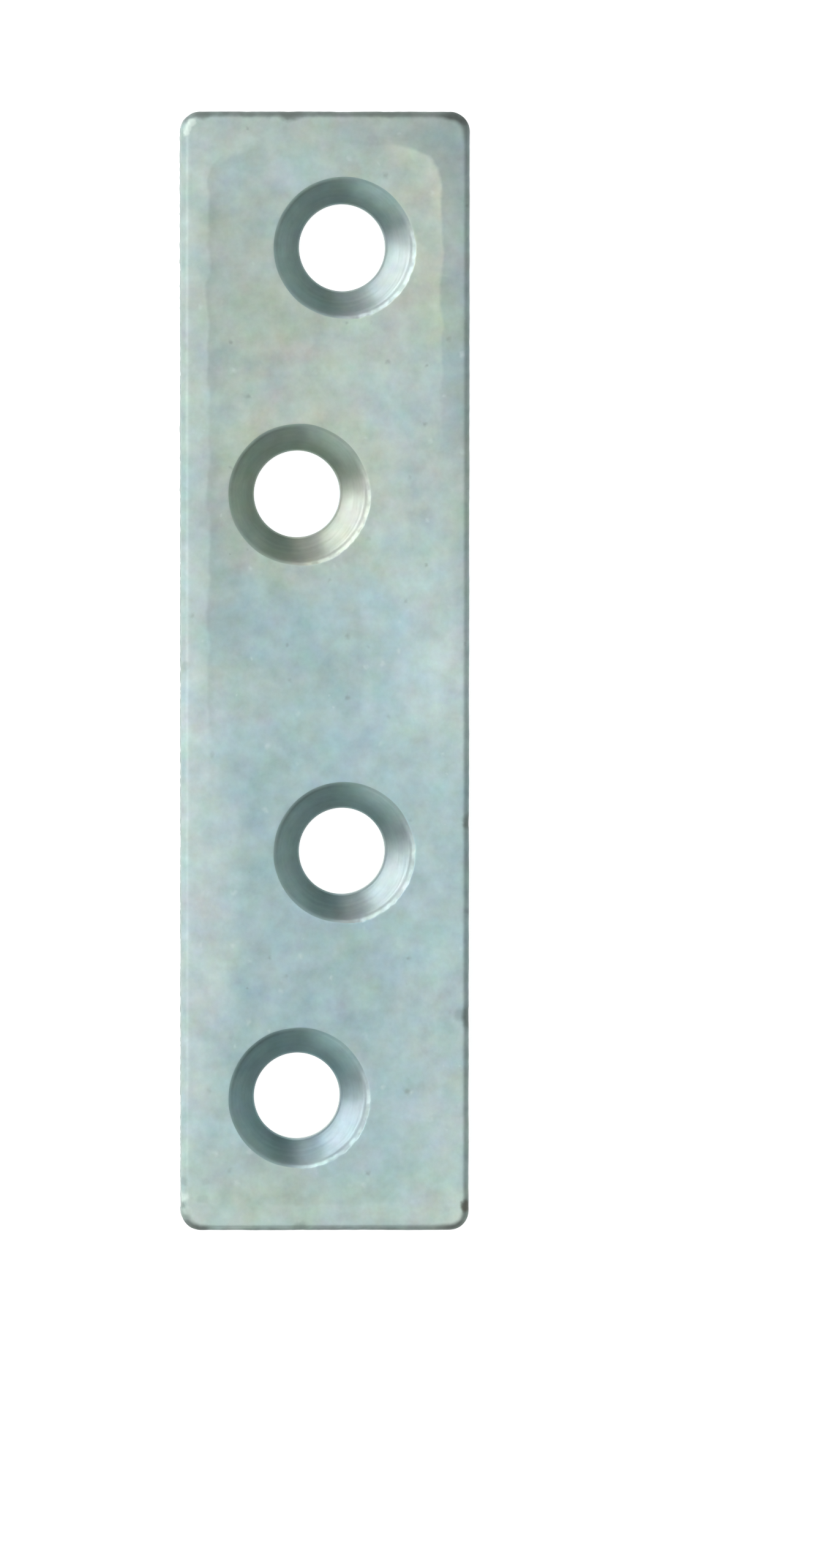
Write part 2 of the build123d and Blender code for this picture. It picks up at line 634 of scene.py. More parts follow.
class PlateBuilder(ShaderBuilder):
    """The nodes of one material, with its shader, the shared effects and the place on the plate at hand."""

    def __init__(self, name: str, effects: Effects) -> None:
        """Makes the material with one Principled shader.

        Args:
            name: The material's name.
            effects: The shared shader groups.
        """
        self.material, tree, self.shader = new_material(name)
        super().__init__(tree)
        self.effects = effects
        self.place = self.scaled(self.add("ShaderNodeTexCoord").outputs["Object"], 1 / MM)

    def patch(self, place: Value, centre: tuple, reach: tuple, softness: float) -> Socket:
        """The mask of one soft oval patch."""
        inputs = {"Place": place, "Centre": centre, "Reach": reach, "Softness": softness}
        return self.group(self.effects.patch, inputs)["Mask"]

    def grain(
        self, place: Value, size: float, tone_reach: float, tint_reach: float
    ) -> tuple[Socket, Socket]:
        """The grain of the zinc: a colour to multiply by, and a height.

        Args:
            place: Where it is read.
            size: About how wide a grain is.
            tone_reach: How far the brightness varies.
            tint_reach: How far the tint varies.

        Returns:
            The colour and the height.
        """
        inputs = {"Place": place, "Size": size, "Tone Reach": tone_reach, "Tint Reach": tint_reach}
        outputs = self.group(self.effects.grain, inputs)
        return outputs["Color"], outputs["Height"]

    def stained(self, finish: tuple, mask: Value, colour: tuple, roughness: float) -> tuple[Socket, Socket]:
        """Lays a covering colour over a finish, which is a colour and a roughness: a stain, painted shade
        and a painted highlight all go on this way.

        Args:
            finish: The colour and the roughness below.
            mask: How much the cover covers.
            colour: The cover's colour.
            roughness: The cover's roughness.

        Returns:
            The colour and the roughness with the cover on them.
        """
        inputs = {"Color": finish[0], "Roughness": finish[1], "Mask": mask}
        outputs = self.group(self.effects.stain, inputs | {"Stain": colour, "Stain Roughness": roughness})
        return outputs["Color"], outputs["Roughness"]

    def filmed(self, colour: Value, patches: tuple[TintPatch, ...], zones: dict[Zone, Value]) -> Value:
        """Lays patches of film over a colour; in the countersinks some of the patches are painted shade and
        a painted highlight.

        Args:
            colour: The colour below the film.
            patches: The patches, from the lowest.
            zones: The mask of each zone.

        Returns:
            The tinted colour.
        """
        wander = self.vectors("MULTIPLY", self.drift(self.place, 3.5, 4.0), (3.0, 4.0, 0.0))
        loose = self.moved(self.place, wander)
        for patch in patches:
            reach = (patch.half_width, patch.half_length, FAR)
            mask = self.patch(loose, (patch.x, patch.y, 0.0), reach, patch.softness)
            share = self.times(self.times(mask, zones[patch.zone]), patch.share)
            colour = self.blend(share, colour, patch.tint.value, "MULTIPLY")
        return colour


@dataclass(frozen=True)
class Outline:
    """A rounded rectangle on the front face."""

    half_width: float
    half_length: float
    corner_radius: float
    centre: tuple = (0.0, 0.0, 0.0)

    def distance(self, b: PlateBuilder, place: Value) -> Socket:
        """How far a place lies outside the rectangle.

        Args:
            b: The material's builder.
            place: The place.

        Returns:
            The distance, which is negative inside the rectangle.
        """
        inputs = {
            "Place": place,
            "Centre": self.centre,
            "Half Width": self.half_width,
            "Half Length": self.half_length,
            "Corner Radius": self.corner_radius,
        }
        return b.group(b.effects.frame_line, inputs)["Distance"]


@dataclass(frozen=True)
class TideLine:
    """The line where the passivating bath dried, which runs inside the face's edge."""

    outline: Outline = Outline(6.45, 29.3, 2.4, (-0.05, -0.1, 0.0))
    wobble: float = 0.9
    wobble_size: float = 2.2
    step: tuple = (-0.12, 0.12)
    rim: tuple = (-0.9, -0.1)

    def zones(self, b: PlateBuilder, front: Value) -> dict[Zone, Value]:
        """Splits the front face at the line.

        Args:
            b: The material's builder.
            front: A mask of the front face.

        Returns:
            The mask of each zone.
        """
        drift = b.drift(b.place, self.wobble_size, 3.0)
        outside = self.outline.distance(b, b.moved(b.place, b.scaled(drift, self.wobble)))
        band = b.times(b.ramp(outside, *self.step), front)
        rim = b.times(b.ramp(outside, *self.rim), b.minus(front, band))
        return {Zone.FACE: front, Zone.BAND: band, Zone.RIM: rim}


@dataclass(frozen=True)
class EdgeShadeAndMarks:
    """Painted shade: a grey band painted round the strip's rolled edge, less on the left side that faces
    the lights, with heavier spots (x, y and share) at three corners; and the marks at the edge.
    """

    outline: Outline = Outline(8.0, 31.0, 1.1)
    wobble: float = 0.12
    wobble_size: float = 0.5
    reach: tuple = (-0.48, -0.12)
    rough_reach: tuple = (-0.4, -0.2)
    share: float = 0.65
    # The left side faces the lights and gets less painted shade; the right side and the ends get more.
    left_share: float = 0.36
    upper_right_share: float = 0.38
    lower_right_share: float = 0.66
    right_start: tuple = (-7.7, -7.2)
    lower_start: tuple = (5.0, -5.0)
    ends_start: tuple = (29.9, 30.6)
    heavy_spots: tuple = ((7.8, 30.8, 0.30), (7.8, -30.8, 0.15), (-7.8, -30.8, 0.22))
    heavy_reach: float = 1.3
    heavy_softness: float = 0.5
    heavy_spread: float = 0.65
    blotch_size: float = 0.9
    colour: tuple = (0.12, 0.14, 0.13, 1.0)
    roughness: float = 0.70
    knock_wobble: float = 0.35
    knock_level: float = 2.0
    knock_drop: float = 1.4
    knock_softness: float = 0.45

    def over(self, b: PlateBuilder, colour: Value, roughness: float) -> tuple[Socket, Socket]:
        """Lays the painted edge shade and the marks over a finish.

        Args:
            b: The material's builder.
            colour: The finish's colour.
            roughness: The finish's roughness.

        Returns:
            The colour and the roughness with the painted shade and the marks on them.
        """
        drift = b.drift(b.place, self.wobble_size, 3.0)
        inset = self.outline.distance(b, b.moved(b.place, b.scaled(drift, self.wobble)))
        worn = b.between(b.ramp(inset, *self.rough_reach), roughness, self.roughness)
        finish = b.stained((colour, worn), self._soiled(b, inset), self.colour, self.roughness)
        loose = b.moved(b.place, b.scaled(drift, self.knock_wobble))
        for mark in EDGE_MARKS:
            reach = (mark.half_width, mark.half_length, self.knock_drop)
            mask = b.patch(loose, (mark.x, mark.y, self.knock_level), reach, self.knock_softness)
            finish = b.stained(finish, b.times(mask, mark.share), mark.stain.value, self.roughness)
        return finish

    def _soiled(self, b: PlateBuilder, inset: Value) -> Socket:
        """How much painted shade lies on a place: less on the left side, which faces the lights, more on
        the lower right and at the ends.

        Args:
            b: The material's builder.
            inset: How far the place lies outside the strip's outline.

        Returns:
            The mask of the painted shade.
        """
        x, y, _ = b.parts(b.place)
        right = b.between(b.ramp(y, *self.lower_start), self.upper_right_share, self.lower_right_share)
        sides = b.between(b.ramp(x, *self.right_start), self.left_share, right)
        ends = b.ramp(b.maths("ABSOLUTE", y), *self.ends_start)
        heavy = 0.0
        reach = (self.heavy_reach, self.heavy_reach, FAR)
        for spot_x, spot_y, share in self.heavy_spots:
            spot = b.patch(b.place, (spot_x, spot_y, 0.0), reach, self.heavy_softness)
            heavy = b.maths("MULTIPLY_ADD", spot, share, heavy)
        shade_share = b.plus(b.times(b.maths("MAXIMUM", sides, ends), self.share), heavy)
        edge = b.ramp(b.maths("MULTIPLY_ADD", heavy, self.heavy_spread, inset), *self.reach)
        patchy = b.plus(b.noise(b.place, self.blotch_size).outputs[0], 0.5)
        return b.maths("MINIMUM", b.times(b.times(edge, shade_share), patchy), 1.0)


@dataclass(frozen=True)
class Speckle:
    """Specks of another colour, scattered over a finish."""

    spacing: float
    size: float
    share: float
    strength: float
    colour: tuple
    offset: tuple = (0.0, 0.0, 0.0)

    def mask(self, b: PlateBuilder) -> Socket:
        """Where the specks are.

        Args:
            b: The material's builder.

        Returns:
            The mask of the specks.
        """
        place = b.moved(b.place, self.offset)
        inputs = {"Place": place, "Spacing": self.spacing, "Size": self.size, "Share": self.share}
        return b.group(b.effects.specks, inputs)["Mask"]

    def over(self, b: PlateBuilder, colour: Value, mask: Value) -> Socket:
        """Lays the specks over a colour."""
        return b.blend(b.times(mask, self.strength), colour, self.colour)


@dataclass(frozen=True)
class Finish:
    """What every finish of the plate has."""

    colour: tuple
    roughness: float
    metallic: float
    bump_strength: float
    bump_depth: float

    def fed(self, b: PlateBuilder, colour: Value, roughness: Value, height: Value) -> Material:
        """Feeds the shader.

        Args:
            b: The material's builder.
            colour: The finished colour.
            roughness: The finished roughness.
            height: The height of the fine bump, from 0 to 1.

        Returns:
            The finished material.
        """
        inputs = {"Height": height, "Strength": self.bump_strength, "Distance": self.bump_depth * MM}
        normal = b.add("ShaderNodeBump", inputs).outputs[0]
        inputs = {"Base Color": colour, "Roughness": roughness, "Metallic": self.metallic, "Normal": normal}
        for name, value in inputs.items():
            b.feed(b.shader.inputs[name], value)
        return b.material


@dataclass(frozen=True)
class PlatedFace(Finish):
    """The dull zinc of the two faces and the rolled edge, under its thin tinted film, with painted shade
    round the edge and the marks at it.
    """

    colour: tuple = (0.44, 0.53, 0.50, 1.0)
    roughness: float = 0.40
    metallic: float = 0.95
    bump_strength: float = 0.25
    bump_depth: float = 0.02
    front: tuple = (0.8, 1.2)
    grain_size: float = 1.3
    tone_reach: float = 0.29
    tint_reach: float = 0.19
    pits: Speckle = Speckle(1.1, 0.18, 0.30, 0.40, (0.20, 0.23, 0.22, 1.0))
    bright_grains: Speckle = Speckle(0.9, 0.18, 0.35, 0.28, (0.72, 0.82, 0.80, 1.0), (7.0, 3.0, 1.0))
    tide: TideLine = TideLine()
    soil: EdgeShadeAndMarks = EdgeShadeAndMarks()

    def material(self, effects: Effects) -> Material:
        """Builds the material.

        Args:
            effects: The shared shader groups.

        Returns:
            The finished material.
        """
        b = PlateBuilder("zinc_face", effects)
        front = b.ramp(b.parts(b.place)[2], *self.front)
        colour = b.filmed(self.colour, FILM, self.tide.zones(b, front))
        grain, height = b.grain(b.place, self.grain_size, self.tone_reach, self.tint_reach)
        pits = self.pits.mask(b)
        colour = self.pits.over(b, b.tinted(colour, grain), pits)
        colour = self.bright_grains.over(b, colour, self.bright_grains.mask(b))
        colour, roughness = self.soil.over(b, colour, self.roughness)
        return self.fed(b, colour, roughness, b.minus(height, pits))


@dataclass(frozen=True)
class PlatedSink(Finish):
    """The smoother zinc in the countersinks, with the rings that the bit left, a torn rim, and painted
    light.

    Its colour is darker than the face's, partly as painted shade in the recess. The side of the cone that
    faces the lights is painted lighter as a painted highlight, with a brighter painted highlight along its
    rim, and the deep part across from it is darkened towards black as painted shade. A pair of radii counts
    from the hole's axis, and a pair of sides is 1 on the lit, torn side and -1 across from it.
    """

    # Darker than the face: partly a smoother zinc, partly painted shade in the recess.
    colour: tuple = (0.283, 0.385, 0.362, 1.0)
    roughness: float = 0.37
    metallic: float = 1.0
    bump_strength: float = 0.3
    bump_depth: float = 0.01
    grain_size: float = 0.9
    tone_reach: float = 0.20
    tint_reach: float = 0.14
    ring_pitch: float = 0.12
    ring_reach: float = 0.10
    # Painted highlight: the side of the cone that faces the lights is painted this lighter colour.
    torn_colour: tuple = (0.335, 0.385, 0.378, 1.0)
    torn_sides: tuple = (0.2, 0.7)
    rim_colour: tuple = (0.44, 0.53, 0.50, 1.0)
    rim_radii: tuple = (3.84, 4.04)
    rim_roughness: float = 0.48
    rough_radii: tuple = (3.5, 3.75)
    # Painted highlight: a bright band along the rim on the side that faces the lights, broken up by noise.
    bare_colour: tuple = (0.56, 0.66, 0.63, 1.0)
    bare_sides: tuple = (0.4, 0.85)
    bare_inner: tuple = (3.70, 3.80)
    bare_outer: tuple = (4.04, 3.86)
    flake_size: float = 0.6
    flake_share: float = 0.6
    flake_range: tuple = (0.34, 0.60)
    shade: float = 0.35
    shade_radii: tuple = (3.6, 2.5)

    def material(self, effects: Effects) -> Material:
        """Builds the material.

        Args:
            effects: The shared shader groups.

        Returns:
            The finished material.
        """
        b = PlateBuilder("zinc_countersink", effects)
        from_hole = b.add("ShaderNodeAttribute", attribute_name="from_hole").outputs["Vector"]
        flat = b.vectors("MULTIPLY", from_hole, (1.0, 1.0, 0.0))
        radius = b.length(flat)
        across, along, _ = b.parts(b.vectors("MULTIPLY", flat, (*LIT_TORN_SIDE, 0.0)))
        side = b.maths("DIVIDE", b.plus(across, along), radius)
        lit_side_share = b.ramp(side, *self.torn_sides)

        # Painted highlight on the side of the cone that faces the lights.
        colour = b.blend(lit_side_share, self.colour, self.torn_colour)
        colour = b.blend(b.ramp(radius, *self.rim_radii), colour, self.rim_colour)
        # Painted highlight along the rim on the lit side, broken up by noise.
        rim_highlight = b.times(b.ramp(side, *self.bare_sides), b.ramp(radius, *self.bare_inner))
        rim_highlight = b.times(rim_highlight, b.ramp(radius, *self.bare_outer))
        highlight_breaks = b.ramp(b.noise(b.place, self.flake_size).outputs[0], *self.flake_range)
        highlight_breaks = b.maths("MULTIPLY_ADD", highlight_breaks, self.flake_share, 1.0 - self.flake_share)
        colour = b.blend(b.times(rim_highlight, highlight_breaks), colour, self.bare_colour)
        colour = b.filmed(colour, SINK_FILM_AND_PAINTED_LIGHT, {Zone.FACE: 1.0})

        inputs = {"Place": from_hole, "Pitch": self.ring_pitch, "Tone Reach": self.ring_reach}
        rings = b.group(effects.rings, inputs)
        tone = b.plus(rings["Tone"], 1.0)
        colour = b.tinted(colour, b.vector(tone, tone, tone))
        colour = b.tinted(colour, b.grain(b.place, self.grain_size, self.tone_reach, self.tint_reach)[0])
        # Painted shade: the deep part of the cone, away from the lights, is darkened towards black.
        shaded = b.times(b.ramp(radius, *self.shade_radii), b.minus(1.0, lit_side_share))
        colour = b.blend(b.times(shaded, self.shade), colour, BLACK)
        roughness = b.between(b.ramp(radius, *self.rough_radii), self.roughness, self.rim_roughness)
        return self.fed(b, colour, roughness, rings["Height"])


@dataclass(frozen=True)
class ShearedSide(Finish):
    """The sheared wall round the strip, scored where the die cut it, with painted shade near the edge and
    the marks at it.
    """

    colour: tuple = (0.42, 0.50, 0.48, 1.0)
    roughness: float = 0.45
    metallic: float = 0.95
    bump_strength: float = 0.5
    bump_depth: float = 0.03
    grain_size: float = 0.5
    tone_reach: float = 0.20
    tint_reach: float = 0.05
    score_stretch: float = 0.12
    soil: EdgeShadeAndMarks = EdgeShadeAndMarks()

    def material(self, effects: Effects) -> Material:
        """Builds the material.

        Args:
            effects: The shared shader groups.

        Returns:
            The finished material.
        """
        b = PlateBuilder("zinc_side", effects)
        scored = b.vectors("MULTIPLY", b.place, (1.0, 1.0, self.score_stretch))
        grain, height = b.grain(scored, self.grain_size, self.tone_reach, self.tint_reach)
        colour, roughness = self.soil.over(b, b.tinted(self.colour, grain), self.roughness)
        return self.fed(b, colour, roughness, height)


# The plate

def unit(values: np.ndarray) -> np.ndarray:
    """Keeps values between 0 and 1."""
    return np.clip(values, 0.0, 1.0)


def noise_over(places: Iterable, size: float = 1.0, offset: tuple = (0.0, 0.0, 0.0)) -> np.ndarray:
    """Reads smooth noise at each place, with hills about as wide as size."""
    moved = Vector(offset)
    return np.array([noise.noise(Vector(place) / size + moved) for place in places])


@dataclass
class BlankedEdge:
    """The edge of the strip as the die leaves it: rolled over in front, sheared, deburred behind."""

    width: float
    length: float
    thickness: float
    corner_radius: float = 1.1 * MM
    front_roll: float = 0.42 * MM
    back_break: float = 0.1 * MM
    lip: float = 0.2 * MM
    spacing: float = 0.1 * MM
    corner_points: int = 24

    def tree(self) -> Tree:
        """Builds the geometry tree that sweeps the edge's profile round the rounded strip.

        Returns:
            The tree.
        """
        inputs = {name: SOCKET_KINDS[type(size)] for name, size in named_sizes(self).items()}
        inputs |= {"Face Material": "Material", "Side Material": "Material"}
        b, given, out = new_tree(GeometryBuilder, "Blanked edge", inputs, {"Geometry": "Geometry"})
        roll, broken, lip, deep = (given[name] for name in ("Front Roll", "Back Break", "Lip", "Thickness"))

        inputs = {"Width": given["Width"], "Height": given["Length"]}
        box = b.add("GeometryNodeCurvePrimitiveQuadrilateral", inputs).outputs["Curve"]
        inputs = {"Curve": box, "Count": given["Corner Points"], "Radius": given["Corner Radius"]}
        rounded = b.add("GeometryNodeFilletCurve", inputs, mode="POLY").outputs["Curve"]
        inputs = {"Curve": rounded, "Length": given["Spacing"]}
        even = b.add("GeometryNodeResampleCurve", inputs, mode="LENGTH").outputs["Curve"]
        path = b.moved(even, b.vector(z=deep))

        roll_in, back_in = b.times(roll, -1.0), b.times(broken, -1.0)
        lip_in = b.minus(roll_in, lip)
        back_level = b.minus(deep, broken)
        profiles = [
            b.line(b.vector(lip_in), b.vector(roll_in), 3),
            b.arc(b.vector(roll_in, roll), roll, -90.0, 90.0, 7),
            b.line(b.vector(0.0, roll), b.vector(0.0, back_level), 14),
            b.arc(b.vector(back_in, back_level), broken, 0.0, 90.0, 3),
            b.line(b.vector(back_in, deep), b.vector(lip_in, deep), 3),
        ]
        skin = b.dressed(b.realized(b.swept(path, profiles)), given["Face Material"])
        below_roll = b.maths("LESS_THAN", b.height(), b.minus(deep, roll))
        side = b.times(below_roll, b.maths("GREATER_THAN", b.height(), broken))
        b.feed(out["Geometry"], b.dressed(skin, given["Side Material"], side))
        return b.tree

    def mesh(self, face: Material, side: Material) -> Mesh:
        """Builds the edge.

        Args:
            face: The material of the lips and the rolled edge.
            side: The material of the sheared wall.

        Returns:
            A ring of skin, open where the front and back faces join it.
        """
        return grown(self.tree(), named_sizes(self) | {"Face Material": face, "Side Material": side})


@dataclass
class CountersunkHoles:
    """The screw holes, each with its cone, its short straight wall and its broken rims."""

    centres: list[Vector]
    hole_radius: float
    thickness: float
    sink_radius: float = 3.8 * MM
    rim_radius: float = 0.52 * MM
    throat_break: float = 0.04 * MM
    lip: float = 0.25 * MM
    sink_start: float = 0.0104 * MM
    sides: int = 216

    def tree(self) -> Tree:
        """Builds the geometry tree that sets one countersunk hole at each point of its base mesh.

        Returns:
            The tree.
        """
        inputs = {"Geometry": "Geometry", "Face Material": "Material", "Sink Material": "Material"}
        inputs |= {"Side Material": "Material"}
        inputs |= {name: SOCKET_KINDS[type(size)] for name, size in named_sizes(self).items()}
        b, given, out = new_tree(GeometryBuilder, "Countersunk holes", inputs, {"Geometry": "Geometry"})
        names = ("Hole Radius", "Rim Radius", "Throat Break", "Thickness")
        hole, rim, broken, deep = (given[name] for name in names)

        # The cone falls at 45 degrees, and the rim's arc meets it and the face a tangent away.
        wide = b.minus(given["Sink Radius"], hole)
        tangent = b.times(rim, math.tan(math.radians(22.5)))
        drop = b.times(tangent, math.sqrt(0.5))
        rim_out = b.plus(wide, tangent)
        inputs = {"Resolution": given["Sides"], "Radius": hole}
        circle = b.add("GeometryNodeCurvePrimitiveCircle", inputs).outputs["Curve"]
        back_level = b.minus(deep, broken)
        profiles = [
            b.arc(b.vector(broken, back_level), broken, 90.0, 90.0, 3),
            b.line(b.vector(0.0, back_level), b.vector(0.0, wide), 5),
            b.line(b.vector(0.0, wide), b.vector(b.minus(wide, drop), drop), 14),
            b.arc(b.vector(rim_out, rim), rim, -135.0, 45.0, 8),
            b.line(b.vector(rim_out), b.vector(b.plus(rim_out, given["Lip"])), 3),
        ]
        ring = b.swept(b.moved(circle, b.vector(z=deep)), profiles)
        inputs = {"Points": given["Geometry"], "Instance": ring}
        holes = b.realized(b.add("GeometryNodeInstanceOnPoints", inputs).outputs["Instances"])
        sunk = b.maths("LESS_THAN", b.height(), b.minus(deep, given["Sink Start"]))
        pierced = b.maths("LESS_THAN", b.height(), b.minus(deep, wide))
        skin = b.dressed(holes, given["Face Material"])
        skin = b.dressed(skin, given["Sink Material"], sunk)
        b.feed(out["Geometry"], b.dressed(skin, given["Side Material"], pierced))
        return b.tree

    def mesh(self, face: Material, side: Material, sink: Material) -> Mesh:
        """Builds the holes.

        Args:
            face: The material of the face round the countersinks.
            side: The material of the straight walls.
            sink: The material of the countersinks.

        Returns:
            One ring of skin for each hole, open where the front and back faces join it.
        """
        points = bpy.data.meshes.new("hole_centres")
        points.from_pydata([(centre.x, centre.y, 0.0) for centre in self.centres], [], [])
        materials = {"Face Material": face, "Side Material": side, "Sink Material": sink}
        return grown(self.tree(), named_sizes(self) | materials, points)


@dataclass
class FaceSheet:
    """One face of the plate: a flat sheet of triangles between the edge and the holes."""

    level: float
    spacing: float
    seed: int
    jitter: float = 0.25
    rim_room: float = 0.45
    corner_room: float = 1.2 * MM

    def fill(self, bm: bmesh.types.BMesh, holes: CountersunkHoles) -> None:
        """Fills the face between the open rims that lie at its level, in the first material.

        Args:
            bm: The mesh, with the skins of the edge and the holes in it.
            holes: The holes, to leave open.
        """
        rims = [
            edge for edge in bm.edges
            if edge.is_boundary and all(abs(vert.co.z - self.level) < FLAT for vert in edge.verts)
        ]
        rim_verts = sorted({vert for edge in rims for vert in edge.verts}, key=lambda vert: vert.index)
        number = {vert: count for count, vert in enumerate(rim_verts)}
        rim_places = np.array([vert.co.xy[:] for vert in rim_verts])
        centres = np.array([centre.xy[:] for centre in holes.centres])
        hole_reach = np.linalg.norm(rim_places[:, None] - centres[None], axis=2).min(axis=0)

        inner = self._scattered(rim_places, centres, hole_reach)
        places = [Vector(place) / MM for place in np.vstack([rim_places, inner])]
        pairs = [tuple(number[vert] for vert in edge.verts) for edge in rims]
        verts, _, faces, sources, _, _ = geometry.delaunay_2d_cdt(places, pairs, [], 0, 1e-6)

        made = []
        for place, source in zip(verts, sources):
            rim = [count for count in source if count < len(rim_verts)]
            made.append(rim_verts[rim[0]] if rim else bm.verts.new((*(place * MM), self.level)))
        for face in faces:
            corners = [made[count] for count in face]
            middle = np.mean([corner.co.xy[:] for corner in corners], axis=0)
            in_hole = (np.linalg.norm(centres - middle, axis=1) < hole_reach).any()
            longest = max((a.co - b.co).length for a, b in zip(corners, corners[1:] + corners[:1]))
            sliver = geometry.area_tri(*(corner.co for corner in corners)) < SLIVER * longest**2
            if not in_hole and not sliver:
                bm.faces.new(corners)

    def _scattered(self, rim: np.ndarray, centres: np.ndarray, hole_reach: np.ndarray) -> np.ndarray:
        """Points inside the sheet, on a loose grid that keeps off its rims.

        Args:
            rim: The places of the sheet's rims.
            centres: The centres of the holes.
            hole_reach: The radius of the sheet's rim round each hole.

        Returns:
            The points.
        """
        random = np.random.default_rng(self.seed)
        low, high = rim.min(axis=0), rim.max(axis=0)
        steps = np.maximum(2, np.round((high - low) / self.spacing).astype(int))
        lines = (np.linspace(a, b, count + 1)[1:-1] for a, b, count in zip(low, high, steps))
        points = np.stack(np.meshgrid(*lines), -1).reshape(-1, 2)
        points = points + random.uniform(-self.jitter, self.jitter, points.shape) * self.spacing
        away = np.linalg.norm(points[:, None] - centres[None], axis=2) - hole_reach
        sides = np.minimum(points - low, high - points)
        room = self.rim_room * self.spacing
        clear = (away.min(axis=1) > room) & (sides.min(axis=1) > room)
        return points[clear & (np.linalg.norm(sides, axis=1) > self.corner_room)]


@dataclass
class Wear:
    """What rolling, blanking, countersinking and use did to the clean skin."""

    edge: BlankedEdge
    holes: CountersunkHoles
    roll_off: float = 0.022 * MM
    roll_off_width: float = 1.4 * MM
    roll_off_power: float = 1.5
    sink_halo: float = 0.010 * MM
    sink_halo_width: float = 0.9 * MM
    waviness: float = 0.008 * MM
    broad_wave: float = 7 * MM
    close_wave: float = 2.2 * MM
    close_share: float = 0.4
    short_end: float = 0.083 * MM
    out_of_square: float = 0.058 * MM
    end_run: float = 2.0 * MM
    edge_wobble: float = 0.015 * MM
    wobble_width: float = 0.6 * MM
    slow_wobble: float = 2.5 * MM
    quick_wobble: float = 0.45 * MM
    quick_share: float = 0.7
    score_stretch: float = 0.25
    break_away: float = 0.03 * MM
    break_level: float = 0.55
    break_waver: float = 0.12
    break_blend: float = 0.08
    broken_grain: float = 0.18 * MM
    rim_wobble: float = 0.02 * MM
    rim_tear: float = 0.085 * MM
    rim_waves: float = 3.0
    rim_teeth: float = 15.0
    hole_stride: float = 3.0
    rim_slack: float = 0.05 * MM
    cone_run: float = 0.9 * MM
    tear_inside: float = 0.15 * MM
    tear_run: float = 0.20 * MM
    tear_raggedness: float = 0.8
    torn_start: float = 0.55
    torn_run: float = 0.20
    knock_width: float = 0.8 * MM
    knock_grain: float = 0.25 * MM
    knock_raggedness: float = 0.35
    knock_start: float = 0.35
    knock_run: float = 0.4
    knock_fullness: float = 1.6
    knock_drop: float = 0.5

    def on(self, mesh: Mesh) -> None:
        """Works the clean skin, and keeps each place's offset from its nearest hole as an attribute.

        Args:
            mesh: The clean skin, changed here.
        """
        places = np.empty(len(mesh.vertices) * 3)
        mesh.vertices.foreach_get("co", places)
        places = places.reshape(-1, 3)
        centres = np.array([centre[:] for centre in self.holes.centres])
        away = places[:, None] - centres[None]
        away[:, :, 2] = places[:, None, 2]
        nearest = np.linalg.norm(away[:, :, :2], axis=2).argmin(axis=1)
        from_hole = away[np.arange(len(places)), nearest] / MM
        inset, outward = self._inset(places)

        self._sink_front(places, inset, np.linalg.norm(from_hole[:, :2], axis=1) * MM)
        self._wobble_side(places, inset, outward)
        self._knock(places, inset, outward)
        self._wear_rims(places, from_hole, nearest)
        half = np.array([self.edge.width / 2, self.edge.length / 2])
        places[:, :2] = np.clip(places[:, :2], -half, half)
        places[:, 2] = np.clip(places[:, 2], 0.0, self.edge.thickness)

        mesh.vertices.foreach_set("co", places.ravel())
        offsets = mesh.attributes.new("from_hole", "FLOAT_VECTOR", "POINT")
        offsets.data.foreach_set("vector", from_hole.ravel())
        mesh.update()

    def _inset(self, places: np.ndarray) -> tuple[np.ndarray, np.ndarray]:
        """How far each place lies inside the strip's outline.

        Args:
            places: The places on the plate.

        Returns:
            The distances, and the unit vectors that point out across the outline.
        """
        radius = self.edge.corner_radius
        half = np.array([self.edge.width / 2, self.edge.length / 2]) - radius
        over = np.abs(places[:, :2]) - half
        corner = np.maximum(over, 0.0)
        reach = np.linalg.norm(corner, axis=1)
        inset = radius - reach - np.minimum(over.max(axis=1), 0.0)
        straight = np.where((over[:, :1] > over[:, 1:]), [[1.0, 0.0]], [[0.0, 1.0]])
        outward = np.where(reach[:, None] > 0, corner / np.maximum(reach, TINY)[:, None], straight)
        return inset, outward * np.sign(places[:, :2])

    def _sink_front(self, places: np.ndarray, inset: np.ndarray, from_axis: np.ndarray) -> None:
        """Lets the front face fall off towards its edge and its countersinks, and waves it slightly.

        Args:
            places: The places on the plate, changed here.
            inset: How far each lies inside the outline.
            from_axis: How far each lies from its nearest hole's axis.
        """
        edge_share = unit(1.0 - inset / self.roll_off_width) ** self.roll_off_power
        sink_share = unit(1.0 - (from_axis - self.holes.sink_radius) / self.sink_halo_width) ** 2
        broad = noise_over(places, self.broad_wave)
        close = noise_over(places, self.close_wave, (9, 3, 1))
        wave = self.waviness / 2 * (1.0 + broad + self.close_share * (1.0 + close))
        fall = self.roll_off * edge_share + self.sink_halo * sink_share + np.maximum(wave, 0.0)
        places[:, 2] -= fall * unit(places[:, 2] / self.edge.thickness * 2 - 1)

